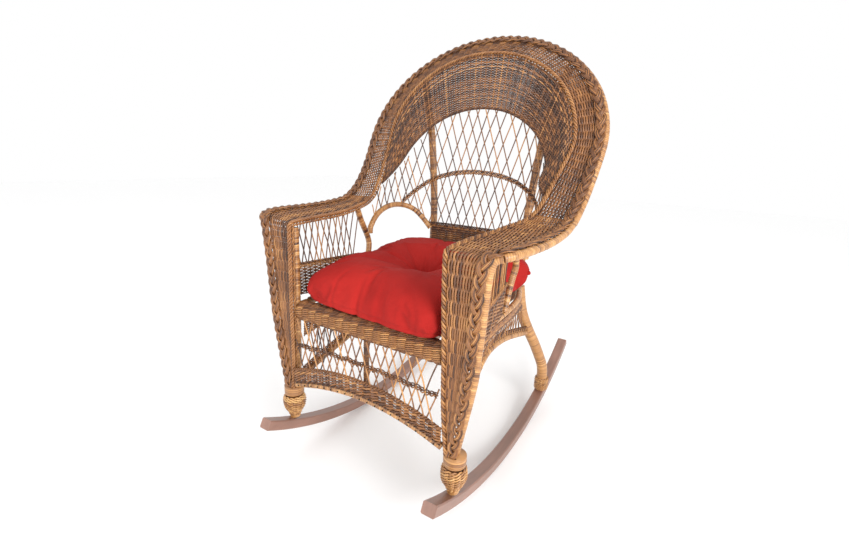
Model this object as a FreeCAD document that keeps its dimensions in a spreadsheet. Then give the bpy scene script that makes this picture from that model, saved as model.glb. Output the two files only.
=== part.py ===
import FreeCAD, Part
import math
import os
import Sketcher
from FreeCAD import Placement, Rotation, Vector

# Woven rattan rocking chair. Millimetres, +Z up, the sitter faces -Y, origin on the floor under the
# middle of the rockers. "left" is -X and "right" is +X, as seen by someone facing the chair.

doc = FreeCAD.newDocument("RockingChair")
sheet = doc.addObject("Spreadsheet::Sheet", "Dimensions")
SIDES = (("left", -1), ("right", 1))
parts = []

DIMENSIONS = {
    # rockers
    "rocker_radius": 947, "rocker_half_length": 460, "rocker_low_depth": -6, "rocker_width": 30,
    "rocker_height": 24, "rocker_offset": 226, "rocker_chamfer": 2.5,
    # rocker screws, driven up into the feet
    "screw_radius": 2, "screw_hole_radius": 2.3, "screw_head_radius": 4.5, "screw_head_height": 2.5,
    "counterbore_radius": 5, "counterbore_depth": 7, "screw_length": 44,
    # poles and reeds
    "pole_radius": 8, "front_post_radius": 8.5, "back_post_radius": 11, "brace_radius": 6.5,
    "leg_radius": 16, "rail_radius": 8, "front_rail_radius": 6, "rim_radius": 6, "hoop_radius": 10,
    "reed_radius": 1.5, "braid_radius": 7, "weave_thickness": 3, "dense_weave_thickness": 12, "nail_radius": 1.6,
    # legs and feet
    "foot_offset": 228, "front_foot_depth": -364, "rear_foot_depth": 222,
    "foot_tip_radius": 13, "foot_bulge_radius": 26, "foot_band_radius": 24, "foot_band_top": 188,
    "rear_collar_radius": 20.5, "fit_clearance": 0.3,
    # seat
    "seat_height": 416, "seat_front": -385, "seat_back": 118, "seat_half_front": 193,
    "seat_half_back": 137, "deck_thickness": 3, "roll_radius": 24, "roll_wall": 3,
    # apron: heights at its ends, and how far its arch rises in the middle
    "apron_half_width": 203, "apron_rise": 36, "apron_rail_height": 203, "apron_band_low": 213,
    "apron_band_high": 245, "apron_twine_height": 312, "nail_pitch": 21,
    # arms and back
    "arm_height": 606, "back_height": 1080, "back_half_width": 347, "back_spring_height": 800,
    "back_lean": 133, "rim_half_width": 267, "rim_height": 1022, "opening_half_width": 218,
    "opening_height": 884, "opening_base": 700, "wall_half_width": 230, "wall_front": -70,
    "wall_depth": 198, "lower_panel_top": 552, "side_panel_top": 500,
    # cushion
    "cushion_thickness": 84, "cushion_edge": 30, "cushion_cover": 4, "button_radius": 11,
}
for row, (alias, value) in enumerate(DIMENSIONS.items(), start=1):
    sheet.set(f"A{row}", alias)
    sheet.set(f"B{row}", str(value))
    sheet.setAlias(f"B{row}", alias)
doc.recompute()


def size(alias):
    """One dimension of the sheet, as a number."""
    return float(getattr(sheet, alias))


def bind(obj, prop, expression):
    obj.setExpression(prop, expression)


def keep(obj, label):
    """Names a finished sub-part and lists it for export."""
    obj.Label = label
    parts.append(obj)
    return obj


def solid_feature(label, shape):
    """A sub-part whose curved shape is made by Part's own functions."""
    obj = doc.addObject("Part::Feature", label)
    obj.Shape = shape
    return keep(obj, label)


# ---------------------------------------------------------------- curves

def smooth(points, per_span=3):
    """Points on a smooth curve through the given points, per_span of them to each span."""
    curve = Part.BSplineCurve()
    curve.interpolate(Points=[Vector(*p) for p in points], Parameters=list(range(len(points))))
    steps = per_span * (len(points) - 1)
    return [curve.value(i / per_span) for i in range(steps + 1)]


def bent_path(points):
    """Straight runs joined by tangent arcs, each arc as large as its two runs allow."""
    points = [Vector(p) for p in points]
    edges = []
    start = points[0]
    for before, corner, after in zip(points, points[1:], points[2:]):
        back = (before - corner).normalize()
        ahead = (after - corner).normalize()
        turn = math.pi - back.getAngle(ahead)
        if turn < 0.01:
            continue
        tangent = 0.45 * min((before - corner).Length, (after - corner).Length)
        radius = tangent / math.tan(turn / 2)
        bisector = (back + ahead).normalize()
        centre = corner + bisector * (radius / math.cos(turn / 2))
        leave = corner + back * tangent
        join = corner + ahead * tangent
        edges.append(Part.LineSegment(start, leave).toShape())
        edges.append(Part.Arc(leave, centre - bisector * radius, join).toShape())
        start = join
    edges.append(Part.LineSegment(start, points[-1]).toShape())
    return Part.Wire(edges)


def swept(label, points, radius_alias):
    """A round pole swept along bent runs, its radius bound to the sheet."""
    spine = doc.addObject("Part::Feature", label + "_line")
    spine.Shape = bent_path(points)
    section = doc.addObject("Part::Circle", label + "_section")
    bind(section, "Radius", "Dimensions." + radius_alias)
    direction = Vector(points[1]) - Vector(points[0])
    section.Placement = Placement(Vector(points[0]), Rotation(Vector(0, 0, 1), direction))
    sweep = doc.addObject("Part::Sweep", label)
    sweep.Sections = [section]
    sweep.Spine = (spine, [f"Edge{i + 1}" for i in range(len(spine.Shape.Edges))])
    sweep.Solid = True
    sweep.Frenet = False
    return sweep


def pole(label, points, radius_alias):
    return keep(swept(label, points, radius_alias), label)


def strip(label, edge_a, edge_b, thickness):
    """A thin woven sheet between two edge curves that have the same number of points."""
    sections = []
    for i, (a, b) in enumerate(zip(edge_a, edge_b)):
        low, high = max(i - 1, 0), min(i + 1, len(edge_a) - 1)
        along = (edge_a[high] + edge_b[high]) - (edge_a[low] + edge_b[low])
        normal = along.cross(b - a).normalize() * (thickness / 2)
        corners = [a + normal, b + normal, b - normal, a - normal]
        sections.append(Part.makePolygon(corners + corners[:1]))
    return solid_feature(label, Part.makeLoft(sections, True, True))


def mirrored(points, side):
    return [Vector(side * p[0], p[1], p[2]) for p in points]


def reed(start, end, radius):
    return Part.makeCylinder(radius, (end - start).Length, start, end - start)


# ---------------------------------------------------------------- shared lines of the frame

def arch(half_width, base, height, depth, lean, count=9):
    """Half an elliptical arch from the right side to the top, leaning back as it rises."""
    points = []
    for i in range(count):
        angle = math.radians(90 * i / (count - 1))
        rise = math.sin(angle)
        points.append((half_width * math.cos(angle), depth + lean * rise,
                       base + (height - base) * rise))
    return points


# The woven surround runs up the front leg, back along the arm and over the back. These are its
# outer and inner edges on the right, station by station: leg, arm, side of the back, arch.
arm = size("arm_height")
front = size("seat_front")
OUTER_EDGE = [(246, front + 5, size("foot_band_top") + 2), (262, front + 1, 300), (273, front - 2, 400),
              (279, front - 4, 500), (286, front - 6, arm - 24), (303, front + 7, arm),
              (325, -336, arm + 7), (334, -220, arm + 8), (334, -115, arm + 14),
              (334, -60, arm + 28), (338, -10, arm + 64), (343, 35, arm + 126)]
INNER_EDGE = [(210, front + 5, size("foot_band_top") + 2), (200, front + 1, 300), (197, front - 2, 400),
              (192, front - 4, 500), (190, front - 5, arm - 24), (189, front + 13, arm - 4),
              (190, -300, arm), (196, -218, arm + 3), (210, -137, arm + 12),
              (231, -60, arm + 31), (247, 0, arm + 90), (260, 45, arm + 150)]
LEG_END = 5      # station where the leg turns into the arm
ARM_END = 9      # station where the arm turns into the back
outer_edge = OUTER_EDGE + arch(size("back_half_width"), size("back_spring_height"),
                               size("back_height"), 70, size("back_lean"))
inner_edge = INNER_EDGE + arch(size("rim_half_width"), size("back_spring_height"),
                               size("rim_height"), 72, 62)
PER_SPAN = 3
outer_edge = smooth(outer_edge, PER_SPAN)
inner_edge = smooth(inner_edge, PER_SPAN)


def surround_line(share, rise, first, last):
    """A line along the surround: share of the way from its outer to its inner edge, raised by rise."""
    points = []
    for i in range(first * PER_SPAN, last * PER_SPAN + 1):
        across = (outer_edge[i] - inner_edge[i]).normalize()
        along = outer_edge[min(i + 1, len(outer_edge) - 1)] - outer_edge[i - 1 if i else 0]
        normal = across.cross(along).normalize()
        points.append(outer_edge[i] - across * share + normal * rise)
    return points


def inner_line(share, rise, first, last):
    """A line along the surround, share inwards of its inner edge (negative: into the sheet)."""
    points = []
    for i in range(first * PER_SPAN, last * PER_SPAN + 1):
        across = (outer_edge[i] - inner_edge[i]).normalize()
        along = inner_edge[min(i + 1, len(inner_edge) - 1)] - inner_edge[i - 1 if i else 0]
        normal = across.cross(along).normalize()
        points.append(inner_edge[i] - across * share + normal * rise)
    return points


def over_the_top(half):
    """A line over the back from the right side to the left, from its right half."""
    return list(half) + [Vector(-p.x, p.y, p.z) for p in reversed(half[:-1])]


def interpolate(table, value):
    """Height at a value from rows of (value, height), in line between rows."""
    for (low, low_height), (high, high_height) in zip(table, table[1:]):
        if value <= high:
            break
    return low_height + (high_height - low_height) * (value - low) / (high - low)


def wall_curve(count=90, power=3.5):
    """The back wall in plan, from the middle round to the right arm: rows of (distance, point)."""
    rows = [(0.0, Vector(0, size("wall_front") + size("wall_depth"), 0))]
    for i in range(1, count + 1):
        angle = math.radians(90 * i / count)
        point = Vector(size("wall_half_width") * math.sin(angle) ** (2 / power),
                       size("wall_front") + size("wall_depth") * max(math.cos(angle), 0) ** (2 / power), 0)
        rows.append((rows[-1][0] + (point - rows[-1][1]).Length, point))
    return rows


WALL = wall_curve()


def wall_point(distance, height, offset=0.0):
    """A point on the back wall, at a distance round it from the middle, offset forwards."""
    for (low, start), (high, end) in zip(WALL, WALL[1:]):
        if abs(distance) <= high:
            break
    point = start + (end - start) * ((abs(distance) - low) / (high - low))
    ahead = (end - start).normalize()
    point += Vector(ahead.y, -ahead.x, 0) * offset
    return Vector(math.copysign(point.x, distance), point.y, height)


# ---------------------------------------------------------------- rockers and their screws

def plane(body, role):
    return next(f for f in body.Origin.OriginFeatures if f.Role == role)


def new_sketch(body, name, role):
    sketch = body.newObject("Sketcher::SketchObject", name)
    sketch.AttachmentSupport = [(plane(body, role), "")]
    sketch.MapMode = "FlatFace"
    return sketch


def close_outline(sketch, outline):
    """Draws a closed outline of straight lines, joined at their ends."""
    corners = [Vector(x, y, 0) for x, y in outline]
    for index, (a, b) in enumerate(zip(corners, corners[1:] + corners[:1])):
        sketch.addGeometry(Part.LineSegment(a, b), False)
        if index:
            sketch.addConstraint(Sketcher.Constraint("Coincident", index - 1, 2, index, 1))
    sketch.addConstraint(Sketcher.Constraint("Coincident", len(corners) - 1, 2, 0, 1))


def rocker_bottom(depth):
    """Height of the rocker's lower face at a depth."""
    radius = size("rocker_radius")
    return radius - math.sqrt(radius ** 2 - (depth - size("rocker_low_depth")) ** 2)


def rocker_top(depth):
    """Height of the rocker's upper face at a depth."""
    radius = size("rocker_radius") - size("rocker_height")
    return size("rocker_radius") - math.sqrt(radius ** 2 - (depth - size("rocker_low_depth")) ** 2)


FOOT_INSET = size("foot_offset") - size("rocker_offset")


def rocker(label, side):
    """A bar of rectangular section bent to a circular arc, its ends cut square to the arc."""
    radius, low = size("rocker_radius"), size("rocker_low_depth")
    height, half = size("rocker_height"), size("rocker_half_length")
    body = doc.addObject("PartDesign::Body", label)
    sketch = new_sketch(body, label + "_profile", "YZ_Plane")
    front = -math.pi / 2 - math.asin((half + low) / radius)
    rear = -math.pi / 2 + math.asin((half - low) / radius)
    centre = Vector(low, radius, 0)
    circles = [Part.Circle(centre, Vector(0, 0, 1), r) for r in (radius, radius - height)]
    sketch.addGeometry([Part.ArcOfCircle(c, front, rear) for c in circles], False)
    ends = [[c.value(angle) for c in circles] for angle in (front, rear)]
    sketch.addGeometry([Part.LineSegment(a, b) for a, b in ends], False)
    for line, point in ((2, 1), (3, 2)):
        sketch.addConstraint(Sketcher.Constraint("Coincident", 0, point, line, 1))
        sketch.addConstraint(Sketcher.Constraint("Coincident", 1, point, line, 2))
        sketch.addConstraint(Sketcher.Constraint("PointOnObject", 0, 3, line))
    sketch.addConstraint(Sketcher.Constraint("Coincident", 0, 3, 1, 3))
    driven = (
        (Sketcher.Constraint("Radius", 0, radius), "Dimensions.rocker_radius"),
        (Sketcher.Constraint("Radius", 1, radius - height),
         "Dimensions.rocker_radius - Dimensions.rocker_height"),
        (Sketcher.Constraint("DistanceX", -1, 1, 0, 3, low), "Dimensions.rocker_low_depth"),
        (Sketcher.Constraint("DistanceY", -1, 1, 0, 3, radius), "Dimensions.rocker_radius"),
        (Sketcher.Constraint("DistanceX", 0, 1, -1, 1, half), "Dimensions.rocker_half_length"),
        (Sketcher.Constraint("DistanceX", -1, 1, 0, 2, half), "Dimensions.rocker_half_length"),
    )
    for constraint, expression in driven:
        index = sketch.addConstraint(constraint)
        bind(sketch, f"Constraints[{index}]", expression)
    pad = body.newObject("PartDesign::Pad", label + "_pad")
    pad.Profile = sketch
    pad.Midplane = True
    bind(pad, "Length", "Dimensions.rocker_width")
    doc.recompute()
    long_edges = [f"Edge{i + 1}" for i, e in enumerate(pad.Shape.Edges) if e.Length > half]
    chamfer = body.newObject("PartDesign::Chamfer", label + "_chamfer")
    chamfer.Base = (pad, long_edges)
    bind(chamfer, "Size", "Dimensions.rocker_chamfer")
    for depth in (size("front_foot_depth"), size("rear_foot_depth")):
        start = Vector(side * FOOT_INSET, depth, rocker_bottom(depth) - 10)
        for radius_alias, length in (("screw_hole_radius", 50),
                                     ("counterbore_radius", 10 + size("counterbore_depth"))):
            hole = body.newObject("PartDesign::SubtractiveCylinder", label + "_hole")
            bind(hole, "Radius", "Dimensions." + radius_alias)
            hole.Height = length
            hole.Placement.Base = start
    bind(body, "Placement.Base.x", f"{side} * Dimensions.rocker_offset")
    return keep(body, label)


for name, side in SIDES:
    rocker("rocker_" + name, side)


# ---------------------------------------------------------------- feet

UPRIGHT = Rotation(Vector(0, 0, 1), 0)


def turned(label, outline, place):
    """A turned body: the outline, in radius and height, is turned about the upright axis."""
    body = doc.addObject("PartDesign::Body", label)
    sketch = new_sketch(body, label + "_outline", "XZ_Plane")
    close_outline(sketch, outline)
    turn = body.newObject("PartDesign::Revolution", label + "_turn")
    turn.Profile = sketch
    turn.ReferenceAxis = (sketch, ["V_Axis"])
    turn.Angle = 360
    body.Placement = place
    return body


def group(label, members):
    """Identical pieces that share one node."""
    compound = doc.addObject("Part::Compound", label)
    compound.Links = members
    return keep(compound, label)


def foot_tool(side, depth):
    """What is cut from a foot: the slope of the rocker under it, and the bore for its screw."""
    length, width, height = 90, 80, 40
    slope = math.asin((depth - size("rocker_low_depth")) / (size("rocker_radius") - size("rocker_height")))
    foot = Vector(side * size("foot_offset"), depth, rocker_top(depth) + size("fit_clearance"))
    block = doc.addObject("Part::Box", "foot_slope")
    block.Length, block.Width, block.Height = length, width, height
    corner = Placement(Vector(-length / 2, -width / 2, -height), UPRIGHT)
    block.Placement = Placement(foot, Rotation(Vector(1, 0, 0), math.degrees(slope))).multiply(corner)
    bore = doc.addObject("Part::Cylinder", "foot_bore")
    bind(bore, "Radius", "Dimensions.screw_hole_radius")
    bore.Height = 40
    bore.Placement.Base = foot - Vector(0, 0, 8)
    tool = doc.addObject("Part::Fuse", "foot_tool")
    tool.Base, tool.Tool = block, bore
    return tool


def fitted(label, raw, tool):
    """A foot's piece after the slope and the bore are cut from it."""
    result = doc.addObject("Part::Cut", label)
    result.Base, result.Tool = raw, tool
    return result


front_depth = size("front_foot_depth")
rear_depth = size("rear_foot_depth")
foot = size("foot_offset")
foot_floor = rocker_top(front_depth)
band_top = size("foot_band_top")
BAND_HEIGHT = 20
BELOW = -8       # feet start this far below the rocker's top, then are cut to its slope
gap = size("fit_clearance")
bulge_height = band_top - BAND_HEIGHT - foot_floor
front_tools = {side: foot_tool(side, front_depth) for _, side in SIDES}
rear_tools = {side: foot_tool(side, rear_depth) for _, side in SIDES}
core = size("pole_radius") + gap
tip, bulge = size("foot_tip_radius"), size("foot_bulge_radius")
foot_outline = [(core, BELOW), (tip, BELOW), (tip, 18), (bulge - 5, 32), (bulge, 46),
                (bulge - 2, bulge_height), (core, bulge_height)]
band = size("foot_band_radius")
band_outline = [(core, gap), (band, gap), (band - 1, BAND_HEIGHT), (core, BAND_HEIGHT)]
collar_core = size("leg_radius") + gap
collar = size("rear_collar_radius")
collar_outline = [(collar_core, 0), (collar - 2, 0), (collar, 10), (collar, 40), (collar_core, 40)]
bands, collars, screws = [], [], []
for name, side in SIDES:
    foot_base = Placement(Vector(side * foot, front_depth, foot_floor), UPRIGHT)
    raw = turned("foot_weave", foot_outline, foot_base)
    keep(fitted("front_foot", raw, front_tools[side]), "front_foot_" + name)
    band_base = Vector(side * foot, front_depth, band_top - BAND_HEIGHT)
    bands.append(turned("foot_band", band_outline, Placement(band_base, UPRIGHT)))
    collar_base = Vector(side * foot, rear_depth, 56)
    collars.append(turned("foot_collar", collar_outline, Placement(collar_base, UPRIGHT)))
    head, shank = size("screw_head_radius"), size("screw_radius")
    head_height = size("screw_head_height")
    screw_outline = [(0, 0), (head, 0), (head, head_height), (shank, head_height + 2),
                     (shank, size("screw_length")), (0, size("screw_length"))]
    for depth in (front_depth, rear_depth):
        seat_of_screw = rocker_bottom(depth) + size("counterbore_depth") - head_height - 2 - gap
        base = Vector(side * foot, depth, seat_of_screw)
        screws.append(turned("screw", screw_outline, Placement(base, UPRIGHT)))
group("front_foot_bands", bands)
group("rear_foot_collars", collars)
group("rocker_screws", screws)


# ---------------------------------------------------------------- legs

STRUT = [(214, -142, 606), (216, -126, 576), (218, -106, 546), (217, -92, 515), (213, -98, 484),
         (211, -112, 440), (211, -123, 412)]
REAR_LEG = [(foot, rear_depth, rocker_top(rear_depth) + BELOW), (foot, rear_depth, 122),
            (219, 208, 168), (203, 187, 214), (184, 160, 270), (166, 140, 330), (154, 134, 402.5)]
# the posts carry on behind the hood up to the hoop
BACK_POST = [(150, 141, 405.5), (150, 146, 560), (159, 148, 690), (172, 148, 812), (190, 150, 895),
             (216, 158, 978)]
FRONT_POST = [(foot - 10, front_depth + 1, band_top + 2), (207, front_depth - 3, 260),
              (202, front_depth - 4, 370), (199, front_depth - 4, 500), (199, front_depth - 4, 586)]
# distance round the back wall, and height
CORNER_ARCH = [(158, 552), (182, 578), (212, 598), (258, 606), (306, 598), (346, 576), (370, 545)]
for name, side in SIDES:
    pole("front_inner_post_" + name, mirrored(FRONT_POST, side), "front_post_radius")
    rear_leg = swept("rear_leg_raw", mirrored(REAR_LEG, side), "leg_radius")
    keep(fitted("rear_leg", rear_leg, rear_tools[side]), "rear_leg_" + name)
    pole("arm_strut_" + name, mirrored(STRUT, side), "pole_radius")
    pole("corner_arch_" + name, [wall_point(side * d, z) for d, z in CORNER_ARCH], "pole_radius")
    pole("back_post_" + name, mirrored(BACK_POST, side), "back_post_radius")


# ---------------------------------------------------------------- woven surround, braids and rims

SHEET = size("weave_thickness")
DENSE = size("dense_weave_thickness")
SHEET_RISE = -5
for name, side in SIDES:
    pieces = (("leg_panel_", 0, LEG_END), ("arm_panel_", LEG_END, ARM_END))
    for label, first, last in pieces:
        strip(label + name, mirrored(inner_line(-12, SHEET_RISE, first, last), side),
              mirrored(surround_line(28, SHEET_RISE, first, last), side), SHEET)
    pole("edge_braid_" + name, mirrored(surround_line(20, 3, 0, ARM_END)[::2], side), "braid_radius")
    leg_line = [Vector(foot, front_depth, foot_floor + BELOW), Vector(foot, front_depth, band_top - 4)]
    leg_line += surround_line(8, -8, 0, LEG_END)[2::2]
    leg_pole = swept("front_leg_raw", mirrored(leg_line, side), "pole_radius")
    keep(fitted("front_leg_pole", leg_pole, front_tools[side]), "front_leg_pole_" + name)
    pole("arm_pole_" + name, mirrored(surround_line(8, -8, LEG_END, ARM_END)[1::2], side), "pole_radius")
    pole("arm_rim_" + name, mirrored(inner_line(-6, -4, 0, ARM_END)[::2], side), "rim_radius")

last_station = len(OUTER_EDGE) + 8
strip("back_surround", over_the_top(inner_line(-12, SHEET_RISE, ARM_END, last_station)),
      over_the_top(surround_line(28, SHEET_RISE, ARM_END, last_station)), DENSE)
pole("back_braid", over_the_top(surround_line(20, 3, ARM_END, last_station)[::2]), "braid_radius")
pole("back_hoop", over_the_top(surround_line(10, -11, ARM_END, last_station)[::2]), "hoop_radius")
pole("back_rim", over_the_top(inner_line(-6, -4, ARM_END, last_station)[::2]), "rim_radius")


def hood_opening(count=10):
    """The hood's lower edge from the right side to the top; it curves back quickly at first."""
    points = [(244, -2, 668)]
    for i in range(count - 1):
        angle = math.radians(90 * i / (count - 2))
        rise = (size("opening_height") - size("opening_base")) * math.sin(angle)
        points.append((size("opening_half_width") * math.cos(angle),
                       13 + 115 * math.sin(angle) ** 0.6, size("opening_base") + rise))
    return points


hood_first = len(OUTER_EDGE) - 1
strip("hood", over_the_top(smooth(hood_opening(), PER_SPAN)),
      over_the_top(inner_line(8, -1, hood_first, last_station)), DENSE)


# ---------------------------------------------------------------- back panels

REED = size("reed_radius")


def lattice(label, starts, lean, lower, upper, place):
    """Two layers of parallel reeds that lean opposite ways and touch where they cross."""
    reeds = []
    for layer, direction in ((-1, 1), (1, -1)):
        for start in starts:
            end = start + direction * lean
            low, high = lower(start), upper(end)
            if high - low > 20:
                reeds.append(reed(place(start, low, layer * REED), place(end, high, layer * REED), REED))
    return solid_feature(label, Part.makeCompound(reeds))


def steps(first, last, count):
    return [first + (last - first) * i / (count - 1) for i in range(count)]


panel_low, panel_top = size("seat_height") + 2, size("lower_panel_top")
POST_INSIDE = 137


def lattice_foot(distance):
    """Where the back lattice starts: on the lower panel, or on a corner arch beyond it."""
    if abs(distance) < CORNER_ARCH[0][0]:
        return panel_top + 2
    return interpolate(CORNER_ARCH, abs(distance)) + 11


# lower edge of the hood and, beyond it, of the surround's inner rim: distance round the wall, height
HOOD_EDGE = [(0, 884), (60, 877), (110, 858), (160, 822), (200, 770), (235, 722), (270, 690),
             (330, 652), (370, 626)]
lattice("back_lattice", steps(-352, 352, 37), 16, lattice_foot,
        lambda distance: interpolate(HOOD_EDGE, abs(distance)) - 10, wall_point)
strip("lower_back_panel", [wall_point(d, panel_low) for d in steps(-POST_INSIDE, POST_INSIDE, 9)],
      [wall_point(d, panel_top) for d in steps(-POST_INSIDE, POST_INSIDE, 9)], DENSE)
MIDDLE_BAND = [(0, 712), (40, 710), (80, 704), (120, 693), (160, 674), (200, 645), (240, 612)]
band_clearance = 2 * REED + size("rim_radius") + gap
band_points = [wall_point(d, interpolate(MIDDLE_BAND, abs(d)), band_clearance)
               for d in steps(-236, 236, 15)]
pole("middle_band", band_points, "rim_radius")


# ---------------------------------------------------------------- seat

seat = size("seat_height")
roll_half, half_back, back = size("seat_half_front"), size("seat_half_back"), size("seat_back")
deck = doc.addObject("PartDesign::Body", "seat_deck")
deck_sketch = new_sketch(deck, "seat_deck_outline", "XY_Plane")
close_outline(deck_sketch, ((-200, front + 48.3), (200, front + 48.3), (197, -20), (152, back),
                            (-152, back), (-197, -20)))
deck_pad = deck.newObject("PartDesign::Pad", "seat_deck_pad")
deck_pad.Profile = deck_sketch
bind(deck_pad, "Length", "Dimensions.deck_thickness")
bind(deck, "Placement.Base.z", "Dimensions.seat_height - Dimensions.deck_thickness")
keep(deck, "seat_deck")

rail_height = seat - size("deck_thickness") - size("rail_radius") - gap
SIDE_RAIL = [(203, -362), (208, -230), (207, -123), (203, -50), (190, 30), (158, 116)]
for name, side in SIDES:
    pole("seat_side_rail_" + name, [Vector(side * x, y, rail_height) for x, y in SIDE_RAIL], "rail_radius")


def bar(label, start, end, radius_alias):
    """A straight round bar between two points."""
    cylinder = doc.addObject("Part::Cylinder", label)
    bind(cylinder, "Radius", "Dimensions." + radius_alias)
    cylinder.Height = (end - start).Length
    cylinder.Placement = Placement(start, Rotation(Vector(0, 0, 1), end - start))
    return keep(cylinder, label)


# the front roll is a hollow woven tube, with the front rail lying against its back inside it
roll_centre = Vector(0, front + 24, seat - 22)
roll_end = Vector(roll_half, 0, 0)
rail_back = size("roll_radius") - size("roll_wall") - size("front_rail_radius") - gap
rail_place = roll_centre + Vector(0, rail_back, 0)
bar("seat_front_rail", rail_place - roll_end, rail_place + roll_end, "front_rail_radius")
bar("seat_rear_rail", Vector(-half_back, back + 8, rail_height), Vector(half_back, back + 8, rail_height),
    "rail_radius")
roll_outer = doc.addObject("Part::Cylinder", "roll_outer")
bind(roll_outer, "Radius", "Dimensions.roll_radius")
roll_inner = doc.addObject("Part::Cylinder", "roll_inner")
bind(roll_inner, "Radius", "Dimensions.roll_radius - Dimensions.roll_wall")
for cylinder in (roll_outer, roll_inner):
    cylinder.Height = 2 * roll_half
    cylinder.Placement = Placement(roll_centre - roll_end, Rotation(Vector(0, 1, 0), 90))
roll = doc.addObject("Part::Cut", "seat_front_roll")
roll.Base, roll.Tool = roll_outer, roll_inner
keep(roll, "seat_front_roll")


# ---------------------------------------------------------------- apron

def apron_arch(across, height, rise=size("apron_rise")):
    """Height across the apron of a line that arches up by rise in the middle."""
    return height + rise * (1 - (across / size("apron_half_width")) ** 2)


def apron_line(height, depth, rise=size("apron_rise"), half=size("apron_half_width")):
    """A line across the apron, depth behind the front of the seat."""
    return [Vector(x, front + depth, apron_arch(x, height, rise)) for x in steps(-half, half, 9)]


def apron_place(across, height, offset):
    return Vector(across, front + 2 - offset, height)


RAIL_DEPTH = 9
apron_rail_height, apron_band_high = size("apron_rail_height"), size("apron_band_high")
roll_bottom = roll_centre.z - size("roll_radius")
pole("apron_rail", apron_line(apron_rail_height, RAIL_DEPTH), "rail_radius")
strip("apron_band", apron_line(size("apron_band_low"), 4), apron_line(apron_band_high, 2), SHEET)
pole("apron_twine", apron_line(size("apron_twine_height"), -6, rise=9, half=190), "reed_radius")
lattice("apron_lattice", steps(-176, 176, 17), 22, lambda x: apron_arch(x, apron_band_high) + 2,
        lambda x: roll_bottom + 3, apron_place)
brace_depth = front + RAIL_DEPTH + size("rail_radius") + size("brace_radius") + gap
bar("apron_brace", Vector(0, brace_depth, apron_arch(0, apron_rail_height) - 6),
    Vector(0, brace_depth, roll_bottom - 1), "brace_radius")


# ---------------------------------------------------------------- sides

def side_wall(depth, height):
    """A point on the side wall under the arm, on the right."""
    share = (depth + 362) / 240
    top = 262 + (216 - 262) * share
    bottom = 252 + (209 - 252) * share
    return Vector(bottom + (top - bottom) * (height - seat) / (arm - 20 - seat), depth, height)


# the arched rail low on each side, and the skirt that hangs between it and the seat
LOWER_RAIL = [(205, -352, 220), (196, -270, 254), (188, -200, 280), (182, -135, 303),
              (178, -40, 300), (180, 50, 284), (186, 142, 263)]
skirt_top = [(204, -345), (207, -270), (208, -200), (207, -135), (202, -40), (184, 50), (163, 118)]
panel_split = size("side_panel_top")
for name, side in SIDES:
    depths = steps(-364, -136, 7)
    strip("side_panel_" + name,
          mirrored([side_wall(y, seat - 6) for y in depths], side),
          mirrored([side_wall(y, panel_split) for y in depths], side), SHEET)

    def arm_place(depth, height, offset, side=side):
        point = side_wall(depth, height)
        return Vector(side * (point.x + offset), point.y, point.z)

    lattice("arm_lattice_" + name, steps(-342, -160, 10), 14, lambda y: panel_split + 2,
            lambda y: arm - 12, arm_place)
    pole("side_lower_rail_" + name, mirrored(LOWER_RAIL, side), "rail_radius")
    drop = Vector(0, 0, size("rail_radius") + 1)
    low_edge = [point + drop for point in mirrored(LOWER_RAIL, side)]
    high_edge = [Vector(side * x, y, rail_height - drop.z) for x, y in skirt_top]
    strip("side_skirt_" + name, low_edge, high_edge, SHEET)


# ---------------------------------------------------------------- nails along the front rail

nails = []
pitch = size("nail_pitch")
for across in steps(-9 * pitch, 9 * pitch, 19):
    nail = doc.addObject("Part::Cylinder", "nail")
    bind(nail, "Radius", "Dimensions.nail_radius")
    nail.Height = 1.5
    face = Vector(across, front + RAIL_DEPTH - size("rail_radius"), apron_arch(across, apron_rail_height))
    nail.Placement = Placement(face, Rotation(Vector(1, 0, 0), 90))
    nails.append(nail)
group("rail_nails", nails)


# ---------------------------------------------------------------- cushion

CUSHION = ((178, -382), (192, -110), (202, 50), (150, 104))
CUSHION_MIDDLE = -135


def cushion_block(label, inset):
    """The cushion's shape with all its edges rounded, inset all round."""
    body = doc.addObject("PartDesign::Body", label)
    sketch = new_sketch(body, label + "_outline", "XY_Plane")
    half = [(x - inset, y + math.copysign(inset, CUSHION_MIDDLE - y)) for x, y in CUSHION]
    close_outline(sketch, half + [(-x, y) for x, y in reversed(half)])
    pad = body.newObject("PartDesign::Pad", label + "_pad")
    pad.Profile = sketch
    bind(pad, "Length", f"Dimensions.cushion_thickness - {2 * inset}")
    doc.recompute()
    rounding = body.newObject("PartDesign::Fillet", label + "_round")
    rounding.Base = (pad, [f"Edge{i + 1}" for i in range(len(pad.Shape.Edges))])
    bind(rounding, "Radius", f"Dimensions.cushion_edge - {inset}")
    bind(body, "Placement.Base.z", f"Dimensions.seat_height + 3 + {inset}")
    return body


# the cover is solid; the loose fibre inside weighs next to nothing, so its space is left empty
cushion = doc.addObject("Part::Cut", "cushion")
cushion.Base = cushion_block("cushion_outside", 0)
cushion.Tool = cushion_block("cushion_filling", size("cushion_cover"))
keep(cushion, "cushion")
button = doc.addObject("Part::Cylinder", "cushion_button")
bind(button, "Radius", "Dimensions.button_radius")
button.Height = 5
button.Placement.Base = Vector(0, CUSHION_MIDDLE, seat + 3 + gap + size("cushion_thickness"))
keep(button, "cushion_button")


# ---------------------------------------------------------------- check and export

doc.recompute()
faulty = [obj.Name for obj in doc.Objects if "Invalid" in obj.State or "Error" in obj.State]
faulty += [obj.Label for obj in parts if obj.Shape.isNull() or not obj.Shape.isValid()]
if faulty:
    raise SystemExit(f"these objects failed: {faulty}")
os.makedirs("parts", exist_ok=True)
for obj in parts:
    obj.Shape.exportStep(f"parts/{obj.Label}.step")
print(len(parts), "parts written")
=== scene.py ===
import math

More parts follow.
